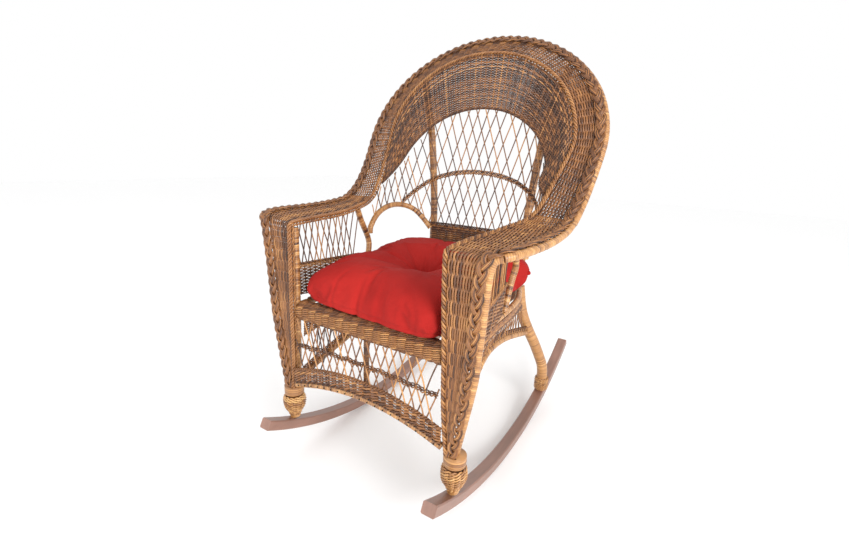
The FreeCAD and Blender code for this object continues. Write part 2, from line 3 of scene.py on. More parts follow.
import bmesh
import bpy
import numpy as np
from mathutils import Matrix, Vector


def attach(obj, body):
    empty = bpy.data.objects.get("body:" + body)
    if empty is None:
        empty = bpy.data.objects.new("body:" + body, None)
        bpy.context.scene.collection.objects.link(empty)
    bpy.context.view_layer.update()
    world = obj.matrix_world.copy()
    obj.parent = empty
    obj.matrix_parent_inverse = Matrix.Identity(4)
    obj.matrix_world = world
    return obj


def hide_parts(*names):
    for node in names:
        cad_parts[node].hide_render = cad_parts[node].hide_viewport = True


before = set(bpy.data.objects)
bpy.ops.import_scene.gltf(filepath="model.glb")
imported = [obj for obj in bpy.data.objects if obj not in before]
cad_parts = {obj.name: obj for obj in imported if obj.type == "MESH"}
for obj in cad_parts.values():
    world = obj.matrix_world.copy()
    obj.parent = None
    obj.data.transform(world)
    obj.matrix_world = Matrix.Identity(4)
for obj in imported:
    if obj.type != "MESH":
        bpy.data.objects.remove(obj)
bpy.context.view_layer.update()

# Looks of the woven rocking chair, in the CAD frame: metres, +Z up, the sitter faces -Y.
# Curves are written in millimetres, as the frame was drawn, and scaled when a mesh is made.

MM = 0.001
TAU = 2 * math.pi
rng = np.random.default_rng(11)
SIDES = (("left", -1), ("right", 1))


# ---- curve helpers

def unit(v):
    return v / np.maximum(np.linalg.norm(v, axis=-1, keepdims=True), 1e-9)


def spline(points, per_span):
    """Points on a natural cubic spline through the given points."""
    p = np.array(points, float)
    n = len(p)
    left = np.eye(n)
    right = np.zeros_like(p)
    for i in range(1, n - 1):
        left[i, i - 1:i + 2] = (1, 4, 1)
        right[i] = 6 * (p[i + 1] - 2 * p[i] + p[i - 1])
    second = np.linalg.solve(left, right)
    rows = []
    for i in range(n - 1):
        for k in range(per_span):
            t = k / per_span
            u = 1 - t
            curving = ((u ** 3 - u) * second[i] + (t ** 3 - t) * second[i + 1]) / 6
            rows.append(p[i] * u + p[i + 1] * t + curving)
    rows.append(p[-1])
    return np.array(rows)


def arc_length(line):
    return np.concatenate([[0], np.cumsum(np.linalg.norm(np.diff(line, axis=0), axis=1))])


def sample(line, places, along=None):
    """Points of a line at the given distances along it."""
    along = arc_length(line) if along is None else along
    return np.stack([np.interp(places, along, line[:, k]) for k in range(3)], -1)


def resample(line, step):
    total = arc_length(line)[-1]
    return sample(line, np.linspace(0, total, max(3, int(round(total / step)) + 1)))


def smooth_path(points):
    return resample(spline(points, 8), 6)


def turning_normals(line):
    """Normals that twist as little as possible along a line."""
    tangents = unit(np.gradient(line, axis=0))
    normal = np.cross(tangents[0], (0.3, 0.5, 0.81))
    rows = []
    for t in tangents:
        normal = unit(normal - t * np.dot(normal, t))
        rows.append(normal)
    return np.array(rows)


# ---- mesh of many reeds

SECTION_SIDES = 6
SECTION = TAU * (np.arange(SECTION_SIDES) + 0.5) / SECTION_SIDES
END_QUADS = ((0, 1, 2, 3), (0, 3, 4, 5))


class Reeds:
    """Reeds gathered into one mesh, each with its own tone and its own place in the grain."""

    def __init__(self, tone=0.5, spread=0.22):
        self.verts, self.quads, self.tones, self.fibres = [], [], [], []
        self.count = 0
        self.tone, self.spread = tone, spread

    def add(self, line, normal, wide, thick, tone=None):
        """Sweeps an oval section along one line (n, 3) or several (m, n, 3)."""
        line = np.asarray(line, float)
        if line.ndim == 2:
            line = line[None]
        normal = np.broadcast_to(np.asarray(normal, float), line.shape)
        tangent = unit(np.gradient(line, axis=1))
        normal = unit(normal - tangent * np.sum(normal * tangent, -1, keepdims=True))
        across = np.cross(tangent, normal)
        m, n = line.shape[:2]
        ring = (across[:, :, None] * (np.cos(SECTION)[:, None] * wide)
                + normal[:, :, None] * (np.sin(SECTION)[:, None] * thick))
        verts = line[:, :, None] + ring
        ids = np.arange(m * n * SECTION_SIDES).reshape(m, n, SECTION_SIDES) + self.count
        nxt = np.roll(ids, -1, axis=2)
        self.quads.append(np.stack([ids[:, :-1], nxt[:, :-1], nxt[:, 1:], ids[:, 1:]], -1).reshape(-1, 4))
        for a, b, c, d in END_QUADS:
            self.quads.append(ids[:, 0, [c, b, a, d]])
            self.quads.append(ids[:, -1, [a, b, c, d]])
        base = self.tone if tone is None else tone
        tones = np.clip(rng.normal(base, self.spread, m), 0, 1)
        step = np.linalg.norm(np.diff(line, axis=1), axis=2)
        run = np.concatenate([np.zeros((m, 1)), np.cumsum(step, axis=1)], 1) + rng.uniform(0, 900, (m, 1))
        shape = (m, n, SECTION_SIDES)
        around = np.broadcast_to(np.stack([np.cos(SECTION), np.sin(SECTION)], -1) * wide, (*shape, 2))
        along = np.broadcast_to(run[:, :, None, None], (*shape, 1))
        self.verts.append(verts.reshape(-1, 3))
        self.tones.append(np.broadcast_to(tones[:, None, None], shape).reshape(-1))
        self.fibres.append(np.concatenate([along, around], -1).reshape(-1, 3))
        self.count += m * n * SECTION_SIDES

    def add_surface(self, grid, tones):
        """A grid of points (n, m, 3), closed round its second axis and capped, with a tone at each point."""
        n, m = grid.shape[:2]
        ids = np.arange(n * m).reshape(n, m) + self.count
        nxt = np.roll(ids, -1, axis=1)
        quads = np.stack([ids[:-1], nxt[:-1], nxt[1:], ids[1:]], -1)
        self.quads.append(quads.reshape(-1, 4))
        self.verts.append(grid.reshape(-1, 3))
        self.tones.append(np.asarray(tones).reshape(-1))
        run = np.broadcast_to(np.arange(n, dtype=float)[:, None], (n, m))
        angle = np.broadcast_to(np.arange(m)[None] * TAU / m, (n, m))
        self.fibres.append(np.stack([angle * 8, run, np.zeros((n, m))], -1).reshape(-1, 3))
        self.count += n * m
        for ring, way in ((ids[0], -1), (ids[-1], 1)):
            for k in range(m // 2 - 1):
                quad = (ring[k], ring[k + 1], ring[m - 2 - k], ring[m - 1 - k])
                self.quads.append(np.array([quad[::way]]))

    def build(self, name, material, nodes, slot, side=1):
        """Makes the Blender piece, which rides on the chair and stands for its CAD nodes."""
        verts = np.concatenate(self.verts) * MM
        quads = np.concatenate(self.quads)
        if side < 0:
            verts[:, 0] *= -1
            quads = quads[:, ::-1]
        mesh = bpy.data.meshes.new(name)
        mesh.vertices.add(len(verts))
        mesh.vertices.foreach_set("co", verts.ravel())
        mesh.loops.add(quads.size)
        mesh.loops.foreach_set("vertex_index", np.ascontiguousarray(quads).ravel())
        mesh.polygons.add(len(quads))
        mesh.polygons.foreach_set("loop_start", np.arange(0, quads.size, 4))
        mesh.polygons.foreach_set("use_smooth", np.ones(len(quads), bool))
        mesh.update(calc_edges=True)
        tone = mesh.attributes.new("tone", "FLOAT", "POINT")
        tone.data.foreach_set("value", np.concatenate(self.tones).astype(np.float32))
        fibre = mesh.attributes.new("fibre", "FLOAT_VECTOR", "POINT")
        fibre.data.foreach_set("vector", np.concatenate(self.fibres).astype(np.float32).ravel())
        place(add_object(mesh, material), nodes)


def add_object(mesh, material):
    """An object in the scene, named as its mesh is, in one material."""
    mesh.materials.clear()
    mesh.materials.append(material)
    obj = bpy.data.objects.new(mesh.name, mesh)
    bpy.context.scene.collection.objects.link(obj)
    return obj


def place(obj, nodes):
    """The piece rides on the chair and stands for its CAD nodes."""
    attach(obj, "root")
    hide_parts(*nodes)


# ---- ways of weaving

def ruled(low, high):
    """A surface between two matched lines: a function from a fraction to its line."""
    def at(fraction):
        return low * (1 - fraction) + high * fraction
    return at


def weave(reeds, at, rows, pitch, swing, wide, thick, stake, slant=0.0, edge=0.0, tone=None, stake_tone=0.3):
    """Weavers run along a surface, over and under stakes set pitch apart across it.

    With slant, each row is a pair of reeds twisted about each other; without it, rows alternate.
    A stake radius of 0 leaves the stakes out."""
    middle = at(0.5)
    along = arc_length(middle)
    gaps = max(2, int(round(along[-1] / pitch)))
    pitch = along[-1] / gaps
    ahead = unit(np.gradient(middle, axis=0))
    sideways = at(0.55) - at(0.45)
    normal = unit(np.cross(sideways, ahead))
    phase = np.pi * along / pitch
    lines, normals = [], []
    for k in range(rows):
        base = edge + (1 - 2 * edge) * (k + 0.5) / rows
        strands = (0, 1) if slant else (k % 2,)
        for e in strands:
            turn = phase + np.pi * e
            fraction = base + slant * np.cos(turn)[:, None] / rows
            line = at(fraction)
            cross = at(fraction + 0.001) - at(fraction - 0.001)
            up = unit(np.cross(cross, ahead))
            lines.append(line + up * (swing * np.sin(turn) + rng.normal(0, 0.12))[:, None])
            normals.append(up)
    reeds.add(np.array(lines), np.array(normals), wide, thick, tone)
    if stake:
        places = (np.arange(gaps) + 0.5) * pitch
        steps = np.linspace(0, 1, 9 + int(np.linalg.norm(at(1.0)[0] - at(0.0)[0]) / 14))
        posts = np.array([sample(at(f), places, along) for f in steps]).transpose(1, 0, 2)
        lift = sample(normal, places, along)[:, None]
        reeds.add(posts, np.broadcast_to(lift, posts.shape), stake, stake, stake_tone)


PLAIT_WIDTH, PLAIT_HEIGHT, PLAIT_PERIOD = 27, 2.6, 70
STRAND_REEDS, STRAND_HALF_WIDTH, PLAIT_REED = 4, 5.6, 1.5


def braid(reeds, line, normal):
    """A flat plait of three strands, each of several reeds side by side."""
    along = arc_length(line)
    period = along[-1] / max(1, round(along[-1] / PLAIT_PERIOD))
    tangent = unit(np.gradient(line, axis=0))
    across = unit(np.cross(tangent, normal))
    reach = PLAIT_WIDTH / 2 - STRAND_HALF_WIDTH
    for j in range(3):
        turn = TAU * (along / period + j / 3)
        sway = across * (reach * np.sin(turn))[:, None]
        centre = line + sway + normal * (PLAIT_HEIGHT * np.sin(2 * turn))[:, None]
        heading = unit(np.gradient(centre, axis=0))
        beside = unit(np.cross(heading, normal))
        tilt = np.cos(turn)[:, None] * 0.25
        up = unit(normal + beside * tilt)
        beside = unit(np.cross(heading, up))
        for i in range(STRAND_REEDS):
            spacing = (2 * STRAND_HALF_WIDTH - PLAIT_REED * 1.3) / STRAND_REEDS
            shift = (i - (STRAND_REEDS - 1) / 2) * spacing
            bow = -0.06 * shift ** 2
            reeds.add(centre + beside * shift + up * bow, up, PLAIT_REED, 1.05)


def twist(reeds, line, radius, pitch, reed, strands=3, normal=None, tone=None):
    """Strands twisted round each other, as in a twined border."""
    along = arc_length(line)
    normal = turning_normals(line) if normal is None else normal
    tangent = unit(np.gradient(line, axis=0))
    across = unit(np.cross(tangent, normal))
    for j in range(strands):
        turn = TAU * (along / pitch + j / strands)
        out = normal * np.sin(turn)[:, None] + across * np.cos(turn)[:, None]
        reeds.add(line + out * radius, out, reed, reed * 0.8, tone)


GROOVE_DEPTH = 0.5


def wrapped(reeds, line, radius, wrap, tone, stripes=0.16, sides=16):
    """A pole bound with flat binder: turns of slightly different tone, with a groove between them that is
    darkened with painted shade.
    """
    line = resample(np.asarray(line, float), wrap / 4)
    along = arc_length(line)
    tangent = unit(np.gradient(line, axis=0))
    normal = turning_normals(line)
    across = np.cross(tangent, normal)
    angles = TAU * np.arange(sides) / sides
    turns = along[:, None] / wrap + angles[None] / TAU
    within = turns % 1
    groove = np.exp(-(np.minimum(within, 1 - within) / 0.16) ** 2)
    count = int(turns.max()) + 2
    levels = np.clip(tone + rng.normal(0, stripes, count) * (rng.random(count) < 0.75)
                     - 0.25 * (rng.random(count) < 0.07), 0, 1)
    swell = rng.normal(0, 0.12, count)
    index = turns.astype(int)
    sizes = np.atleast_1d(np.asarray(radius, float))
    size = np.interp(np.linspace(0, 1, len(line)), np.linspace(0, 1, len(sizes)), sizes)[:, None]
    r = size - GROOVE_DEPTH * groove + swell[index] - 0.15
    grid = (line[:, None] + normal[:, None] * (np.cos(angles)[:, None] * r[:, :, None])
            + across[:, None] * (np.sin(angles)[:, None] * r[:, :, None]))
    # The tone is lowered in the groove between turns: painted shade in the recess.
    reeds.add_surface(grid, levels[index] - 0.35 * groove)


# ---- materials

NODE_SPACING = 220


def node(tree, kind, **values):
    """A node, placed to the right of those made before it, with its inputs and settings."""
    n = tree.nodes.new(kind)
    n.location = (NODE_SPACING * len(tree.nodes), 0)
    for key, value in values.items():
        if key in n.inputs:
            n.inputs[key].default_value = value
        else:
            setattr(n, key, value)
    return n


def ramp(tree, stops):
    n = node(tree, "ShaderNodeValToRGB")
    elements = n.color_ramp.elements
    while len(elements) < len(stops):
        elements.new(0.5)
    for element, (position, colour) in zip(elements, stops):
        element.position = position
        element.color = (*colour, 1)
    return n


def new_material(name):
    """An empty material: its node tree and its surface shader."""
    material = bpy.data.materials.new(name)
    material.use_nodes = True
    tree = material.node_tree
    tree.nodes.clear()
    shader = node(tree, "ShaderNodeBsdfPrincipled")
    out = node(tree, "ShaderNodeOutputMaterial")
    tree.links.new(shader.outputs["BSDF"], out.inputs["Surface"])
    return material, tree, shader


def scaled(tree, value, factor, offset):
    """A socket that holds value times factor, plus offset."""
    n = node(tree, "ShaderNodeMath", operation="MULTIPLY_ADD")
    tree.links.new(value, n.inputs[0])
    n.inputs[1].default_value = factor
    n.inputs[2].default_value = offset
    return n.outputs[0]


def combined(tree, operation, first, second, clamp=False):
    """A socket that holds the sum or product of two others."""
    n = node(tree, "ShaderNodeMath", operation=operation, use_clamp=clamp)
    tree.links.new(first, n.inputs[0])
    tree.links.new(second, n.inputs[1])
    return n.outputs[0]


def colour_from(tree, value, stops, shader):
    """Colours the shader by a value, through colour stops."""
    colours = ramp(tree, stops)
    tree.links.new(value, colours.inputs["Fac"])
    tree.links.new(colours.outputs["Color"], shader.inputs["Base Color"])


def bump_from(tree, height, strength, distance, shader):
    """Raises fine relief on the shader from a height."""
    bump = node(tree, "ShaderNodeBump", Strength=strength, Distance=distance)
    tree.links.new(height, bump.inputs["Height"])
    tree.links.new(bump.outputs["Normal"], shader.inputs["Normal"])


def reed_material(name, stops, roughness=0.42, coat=0.25, stain=0.35):
    """Varnished cane: tone from each reed, streaks along its fibres, stains and worn patches."""
    material, tree, shader = new_material(name)
    link = tree.links.new
    shader.inputs["Coat Weight"].default_value = coat
    shader.inputs["Coat Roughness"].default_value = 0.35
    tone = node(tree, "ShaderNodeAttribute", attribute_name="tone")
    fibre = node(tree, "ShaderNodeAttribute", attribute_name="fibre")
    stretch = node(tree, "ShaderNodeMapping", Scale=(0.06, 1.6, 1.6))
    link(fibre.outputs["Vector"], stretch.inputs["Vector"])
    streak = node(tree, "ShaderNodeTexNoise", Scale=0.9, Detail=4.0, Roughness=0.65)
    link(stretch.outputs["Vector"], streak.inputs["Vector"])
    surface = node(tree, "ShaderNodeTexCoord")
    blot = node(tree, "ShaderNodeTexNoise", Scale=16.0, Detail=3.0, Roughness=0.6)
    link(surface.outputs["Object"], blot.inputs["Vector"])
    streaks = scaled(tree, streak.outputs["Fac"], 0.5, -0.25)
    blots = scaled(tree, blot.outputs["Fac"], stain * 2, -stain)
    streaked = combined(tree, "ADD", tone.outputs["Fac"], streaks)
    stained = combined(tree, "ADD", streaked, blots, clamp=True)
    colour_from(tree, stained, stops, shader)
    rough = scaled(tree, streak.outputs["Fac"], 0.3, roughness - 0.12)
    link(rough, shader.inputs["Roughness"])
    bump_from(tree, streak.outputs["Fac"], 0.35, 0.0006, shader)
    return material


def fabric_material():
    """Plain woven cotton, dyed red and slightly faded, with crossing threads and thicker slubs."""
    material, tree, shader = new_material("red_cotton")
    link = tree.links.new
    shader.inputs["Roughness"].default_value = 0.82
    shader.inputs["Specular IOR Level"].default_value = 0.18
    surface = node(tree, "ShaderNodeTexCoord")
    cloud = node(tree, "ShaderNodeTexNoise", Scale=9.0, Detail=4.0, Roughness=0.55)
    link(surface.outputs["Object"], cloud.inputs["Vector"])
    reds = [(0.25, (0.30, 0.010, 0.008)), (0.5, (0.37, 0.014, 0.011)), (0.75, (0.44, 0.019, 0.014))]
    colour_from(tree, cloud.outputs["Fac"], reds, shader)
    threads = []
    for turn in (0, math.pi / 2):
        mapping = node(tree, "ShaderNodeMapping", Rotation=(0, 0, turn))
        link(surface.outputs["Object"], mapping.inputs["Vector"])
        thread = node(tree, "ShaderNodeTexWave", Scale=330.0, Distortion=1.2, Detail=1.0)
        link(mapping.outputs["Vector"], thread.inputs["Vector"])
        threads.append(thread.outputs["Fac"])
    crossed = combined(tree, "MULTIPLY", *threads)
    slub = node(tree, "ShaderNodeTexNoise", Scale=140.0, Detail=3.0)
    link(surface.outputs["Object"], slub.inputs["Vector"])
    height = combined(tree, "ADD", crossed, slub.outputs["Fac"])
    bump_from(tree, height, 0.25, 0.0005, shader)
    return material


def solid_material(name, stops, scale, stretch, roughness, relief, metallic=0.0, coat=0.0):
    """Painted wood, bare board or dark steel: streaked colour, uneven gloss and a fine bump."""
    material, tree, shader = new_material(name)
    link = tree.links.new
    shader.inputs["Metallic"].default_value = metallic
    shader.inputs["Coat Weight"].default_value = coat
    shader.inputs["Coat Roughness"].default_value = 0.3
    surface = node(tree, "ShaderNodeTexCoord")
    mapping = node(tree, "ShaderNodeMapping", Scale=stretch)
    link(surface.outputs["Object"], mapping.inputs["Vector"])
    grain = node(tree, "ShaderNodeTexNoise", Scale=scale, Detail=6.0, Roughness=0.6)
    link(mapping.outputs["Vector"], grain.inputs["Vector"])
    colour_from(tree, grain.outputs["Fac"], stops, shader)
    rough = scaled(tree, grain.outputs["Fac"], 0.35, roughness - 0.17)
    link(rough, shader.inputs["Roughness"])
    bump_from(tree, grain.outputs["Fac"], relief, 0.0008, shader)
    return material


WEAVE_STOPS = [(0.0, (0.030, 0.011, 0.005)), (0.32, (0.105, 0.037, 0.012)),
               (0.62, (0.29, 0.115, 0.033)), (1.0, (0.56, 0.275, 0.090))]
WRAP_STOPS = [(0.0, (0.07, 0.024, 0.009)), (0.35, (0.27, 0.115, 0.038)),
              (0.65, (0.47, 0.225, 0.072)), (1.0, (0.66, 0.38, 0.145))]
PAINT_STOPS = [(0.3, (0.17, 0.085, 0.058)), (0.55, (0.26, 0.132, 0.094)), (0.8, (0.36, 0.190, 0.140))]
BOARD_STOPS = [(0.3, (0.10, 0.052, 0.026)), (0.7, (0.26, 0.15, 0.08))]
STEEL_STOPS = [(0.3, (0.010, 0.009, 0.009)), (0.7, (0.05, 0.04, 0.035))]
weave_cane = reed_material("woven_cane", WEAVE_STOPS)
wrap_cane = reed_material("wrapped_cane", WRAP_STOPS, roughness=0.38, coat=0.35, stain=0.22)
lattice_cane = reed_material("lattice_cane", WEAVE_STOPS, stain=0.45)
rocker_paint = solid_material("brown_paint", PAINT_STOPS, 30.0, (1, 0.12, 0.5), 0.42, 0.15, coat=0.3)
bare_board = solid_material("seat_board", BOARD_STOPS, 24.0, (1, 0.1, 1), 0.6, 0.3)
dark_steel = solid_material("dark_steel", STEEL_STOPS, 400.0, (1, 1, 1), 0.5, 0.2, metallic=0.8)
red_cotton = fabric_material()


# ---- lines of the frame, in millimetres

FRONT, ARM, SEAT = -385, 606, 416
OUTER_EDGE = [(246, FRONT + 5, 190), (262, FRONT + 1, 300), (273, FRONT - 2, 400), (279, FRONT - 4, 500),
              (286, FRONT - 6, ARM - 24), (303, FRONT + 7, ARM), (325, -336, ARM + 7), (334, -220, ARM + 8),
              (334, -115, ARM + 14), (334, -60, ARM + 28), (338, -10, ARM + 64), (343, 35, ARM + 126)]
INNER_EDGE = [(210, FRONT + 5, 190), (200, FRONT + 1, 300), (197, FRONT - 2, 400), (192, FRONT - 4, 500),
              (190, FRONT - 5, ARM - 24), (189, FRONT + 13, ARM - 4), (190, -300, ARM), (196, -218, ARM + 3),
              (210, -137, ARM + 12), (231, -60, ARM + 31), (247, 0, ARM + 90), (260, 45, ARM + 150)]
# Points of the edges at which the legs and the arms end; the back's arch adds more after them.
LEG_END, ARM_END = 5, 9
PER_SPAN, ARCH_POINTS = 24, 9


def arch(half_width, base, height, depth, lean):
    """Half an elliptical arch from the right side to the top, leaning back as it rises."""
    turn = np.linspace(0, np.pi / 2, ARCH_POINTS)
    rise, across = np.sin(turn), half_width * np.cos(turn)
    return list(np.stack([across, depth + lean * rise, base + (height - base) * rise], -1))


outer_edge = spline(OUTER_EDGE + arch(347, 800, 1080, 70, 133), PER_SPAN)
inner_edge = spline(INNER_EDGE + arch(267, 800, 1022, 72, 62), PER_SPAN)
LAST = len(OUTER_EDGE) + ARCH_POINTS - 1
surround_across = unit(outer_edge - inner_edge)


def edge_line(edge, share, rise, first, last):
    """A line beside an edge of the surround: share away from it inwards, raised by rise."""
    cut = slice(first * PER_SPAN, last * PER_SPAN + 1)
    normal = unit(np.cross(surround_across, np.gradient(edge, axis=0)))
    return (edge - surround_across * share + normal * rise)[cut], normal[cut]


def over_the_top(half):
    """Points or normals of a half, from the right side, carried on over the top to the left."""
    return np.concatenate([half, half[-2::-1] * (-1, 1, 1)])


def even_places(along, step):
    return np.linspace(0, along[-1], max(3, int(along[-1] / step) + 1))


def even(line, normal, step):
    """Line and normals at even distances."""
    along = arc_length(line)
    places = even_places(along, step)
    return sample(line, places, along), unit(sample(normal, places, along))


def matched(low, high, step):
    """Two edge lines at matched stations, even along the line midway between them."""
    along = arc_length((low + high) / 2)
    places = even_places(along, step)
    return sample(low, places, along), sample(high, places, along)


WALL_X, WALL_FRONT, WALL_DEPTH, WALL_POWER = 230, -70, 198, 3.5
wall_angles = np.linspace(0, np.pi / 2, 181)
WALL = np.stack([WALL_X * np.sin(wall_angles) ** (2 / WALL_POWER),
                 WALL_FRONT + WALL_DEPTH * np.maximum(np.cos(wall_angles), 0) ** (2 / WALL_POWER),
                 np.zeros(181)], -1)
WALL_RUN = arc_length(WALL)


def wall(distance, height, offset=0.0):
    """Points on the back wall at distances round it from the middle, offset forwards."""
    distance = np.asarray(distance, float)
    run = np.abs(distance)
    point = sample(WALL, run, WALL_RUN)
    ahead = unit(sample(WALL, run + 1.5, WALL_RUN) - sample(WALL, run - 1.5, WALL_RUN))
    forward = np.stack([ahead[..., 1], -ahead[..., 0], 0 * run], -1)
    point = point + forward * np.asarray(offset)[..., None]
    point[..., 0] *= np.where(distance < 0, -1, 1)
    point[..., 2] = height
    return point


def wall_normal(distance):
    return unit(wall(distance, 0.0, np.ones(np.shape(distance))) - wall(distance, 0.0))


# Heights of lines on the back wall, at distances round it from the middle.
CORNER_ARCH = np.array([(158, 552), (182, 578), (212, 598), (258, 606), (306, 598), (346, 576),
                        (370, 545)], float)
ARCH_REAR_FOOT, ARCH_FRONT_FOOT = (145, 536), (376, 532)
HOOD_EDGE = np.array([(0, 884), (60, 877), (110, 858), (160, 822), (200, 770), (235, 722), (270, 690),
                      (330, 652), (370, 626)], float)
MIDDLE_BAND = np.array([(0, 712), (40, 710), (80, 704), (120, 693), (160, 674), (200, 645),
                        (240, 612)], float)
PANEL_TOP = 552


def hood_opening():
    """The hood's lower edge, from the right side to the top."""
    angles = np.linspace(0, np.pi / 2, 9)
    points = [(244, -2, 668)]
    points += list(np.stack([218 * np.cos(angles), 13 + 115 * np.sin(angles) ** 0.6,
                             700 + 184 * np.sin(angles)], -1))
    return spline(points, PER_SPAN)


# ---- legs, arms and back: weave and braids

SHEET_RISE, INNER_MARGIN, OUTER_MARGIN = -5, 6, 26


def surround_piece(name, nodes, first, last, rows, pitch, tone, side=1, whole=False):
    """Woven sheet of the surround between two stations."""
    low, _ = edge_line(inner_edge, -INNER_MARGIN, SHEET_RISE, first, last)
    high, _ = edge_line(outer_edge, OUTER_MARGIN, SHEET_RISE, first, last)
    if whole:
        low, high = over_the_top(low), over_the_top(high)
    low, high = matched(low, high, pitch / 6)
    reeds = Reeds(tone, 0.17)
    weave(reeds, ruled(low, high), rows, pitch, 2.1, 2.15, 1.15, stake=1.7, stake_tone=0.25)
    reeds.build(name, weave_cane, nodes, "reed_weave", side)


# How far in from its edge of the surround, and how far above it, each border lies.
PLAIT_PLACE, RIM_PLACE = (19, 1.5), (-4, -2)
for name, side in SIDES:
    surround_piece("leg_weave_" + name, ["leg_panel_" + name], 0, LEG_END, 21, 24, 0.50, side)
    surround_piece("arm_weave_" + name, ["arm_panel_" + name], LEG_END, ARM_END, 27, 20, 0.60, side)
    line, normal = even(*edge_line(outer_edge, *PLAIT_PLACE, 0, ARM_END), 3)
    plait = Reeds(0.48, 0.14)
    braid(plait, line, normal)
    plait.build("edge_plait_" + name, weave_cane, ["edge_braid_" + name], "reed_weave", side)
    line, normal = even(*edge_line(inner_edge, *RIM_PLACE, 0, ARM_END), 2.5)
    rim = Reeds(0.62, 0.16)
    twist(rim, line, 3.0, 26, 2.4, 3, normal)
    twist(rim, edge_line(inner_edge, 0.5, -8, 0, ARM_END)[0], 1.6, 20, 1.7, 2)
    rim.build("inner_rim_" + name, weave_cane, ["arm_rim_" + name], "wrapped_pole", side)

surround_piece("back_weave", ["back_surround"], ARM_END, LAST, 17, 19, 0.42, whole=True)
line, normal = edge_line(outer_edge, *PLAIT_PLACE, ARM_END, LAST)
line, normal = even(over_the_top(line), over_the_top(normal), 3)
plait = Reeds(0.40, 0.15)
braid(plait, line, normal)
plait.build("back_plait", weave_cane, ["back_braid"], "reed_weave")
line, normal = edge_line(inner_edge, *RIM_PLACE, ARM_END, LAST)
line, normal = even(over_the_top(line), over_the_top(normal), 2.5)
rim = Reeds(0.60, 0.16)
twist(rim, line, 3.2, 28, 2.5, 3, normal)
inner_low = over_the_top(edge_line(inner_edge, 2, -7, ARM_END, LAST)[0])
twist(rim, inner_low, 1.8, 22, 1.9, 2)
rim.build("back_inner_rim", weave_cane, ["back_rim"], "wrapped_pole")

low = over_the_top(hood_opening())
high_half, _ = edge_line(inner_edge, 3, -2, len(OUTER_EDGE) - 1, LAST)
high = over_the_top(high_half)
low, high = matched(low, high, 3.4)
hood = Reeds(0.36, 0.20)
weave(hood, ruled(low, high), 44, 15, 1.7, 1.5, 1.0, stake=2.2, edge=0.005, stake_tone=0.5)
twist(hood, resample(low, 2.5), 2.4, 18, 2.0, 3, tone=0.3)
hood.build("hood_weave", weave_cane, ["hood"], "reed_weave")


# ---- wrapped poles

POLE = 8
FOOT, FRONT_FOOT, REAR_FOOT = 228, -364, 222
BAND_TOP = 188
ROCKER_RADIUS, ROCKER_LOW, ROCKER_HEIGHT = 947, -6, 24
BINDER = 4.2


def pole_piece(name, nodes, line, radius, tone, stripes=0.16, side=1, wrap=BINDER):
    reeds = Reeds()
    wrapped(reeds, line, radius, wrap, tone, stripes)
    reeds.build(name, wrap_cane, nodes, "wrapped_pole", side)


def rocker_top(depth):
    return ROCKER_RADIUS - math.sqrt((ROCKER_RADIUS - ROCKER_HEIGHT) ** 2 - (depth - ROCKER_LOW) ** 2)


leg_edge, _ = edge_line(outer_edge, 8, -8, 0, LEG_END)
leg_foot = [(FOOT, FRONT_FOOT, BAND_TOP - 4)]
LEG_POLE = np.concatenate([leg_foot, leg_edge[PER_SPAN:]])[::12]
ARM_POLE, _ = edge_line(outer_edge, 8, -8, LEG_END, ARM_END)
INNER_POST = [(FOOT - 10, FRONT_FOOT + 1, BAND_TOP + 2), (207, -367, 260), (202, -368, 370),
              (199, -368, 500), (199, -368, 586)]
REAR_LEG = [(FOOT, REAR_FOOT, rocker_top(REAR_FOOT) + 3), (FOOT, REAR_FOOT, 90), (226, 219, 130),
            (217, 206, 168), (203, 187, 214), (184, 160, 270), (166, 141, 330), (154, 134, 402)]
STRUT = [(214, -142, 606), (216, -126, 576), (218, -106, 546), (217, -92, 515), (213, -98, 484),
         (211, -112, 440), (211, -123, 412)]
BACK_POST = [(150, 141, 405.5), (150, 146, 560), (159, 148, 690), (172, 148, 812), (190, 150, 895),
             (216, 158, 978)]
LOWER_RAIL = [(205, -352, 220), (196, -270, 254), (188, -200, 280), (182, -135, 303), (178, -40, 300),
              (180, 50, 284), (186, 142, 263)]
SIDE_RAIL = [(203, -362, 403), (208, -230, 403), (207, -123, 403), (203, -50, 403), (190, 30, 403),
             (158, 116, 403)]
arch_line = spline([ARCH_REAR_FOOT, *CORNER_ARCH, ARCH_FRONT_FOOT], 10)
ARCH_POLE = resample(wall(arch_line[:, 0], arch_line[:, 1]), 5)

# Piece, CAD node, line on the right, radius, tone and how much the tone changes from turn to turn.
SIDE_POLES = [("leg_pole", "front_leg_pole", smooth_path(LEG_POLE), POLE, 0.66, 0.16),
              ("arm_edge", "arm_pole", ARM_POLE, POLE, 0.74, 0.16),
              ("inner_post", "front_inner_post", smooth_path(INNER_POST), 8.5, 0.62, 0.20),
              ("rear_leg_wrap", "rear_leg", smooth_path(REAR_LEG), 16, 0.68, 0.10),
              ("strut", "arm_strut", smooth_path(STRUT), POLE, 0.58, 0.24),
              ("corner_arch_wrap", "corner_arch", ARCH_POLE, POLE, 0.66, 0.16),
              ("back_post_wrap", "back_post", smooth_path(BACK_POST), 11, 0.50, 0.16),
              ("lower_rail_wrap", "side_lower_rail", smooth_path(LOWER_RAIL), POLE, 0.68, 0.16),
              ("seat_rail_wrap", "seat_side_rail", smooth_path(SIDE_RAIL), POLE, 0.66, 0.16)]
for name, side in SIDES:
    for piece, cad_node, line, radius, tone, stripes in SIDE_POLES:
        pole_piece(f"{piece}_{name}", [f"{cad_node}_{name}"], line, radius, tone, stripes, side)
hoop, _ = edge_line(outer_edge, 10, -11, ARM_END, LAST)
pole_piece("back_hoop_wrap", ["back_hoop"], over_the_top(hoop), 10, 0.66)
rear_rail = [(x, 126, 404.5) for x in (-137, 0, 137)]
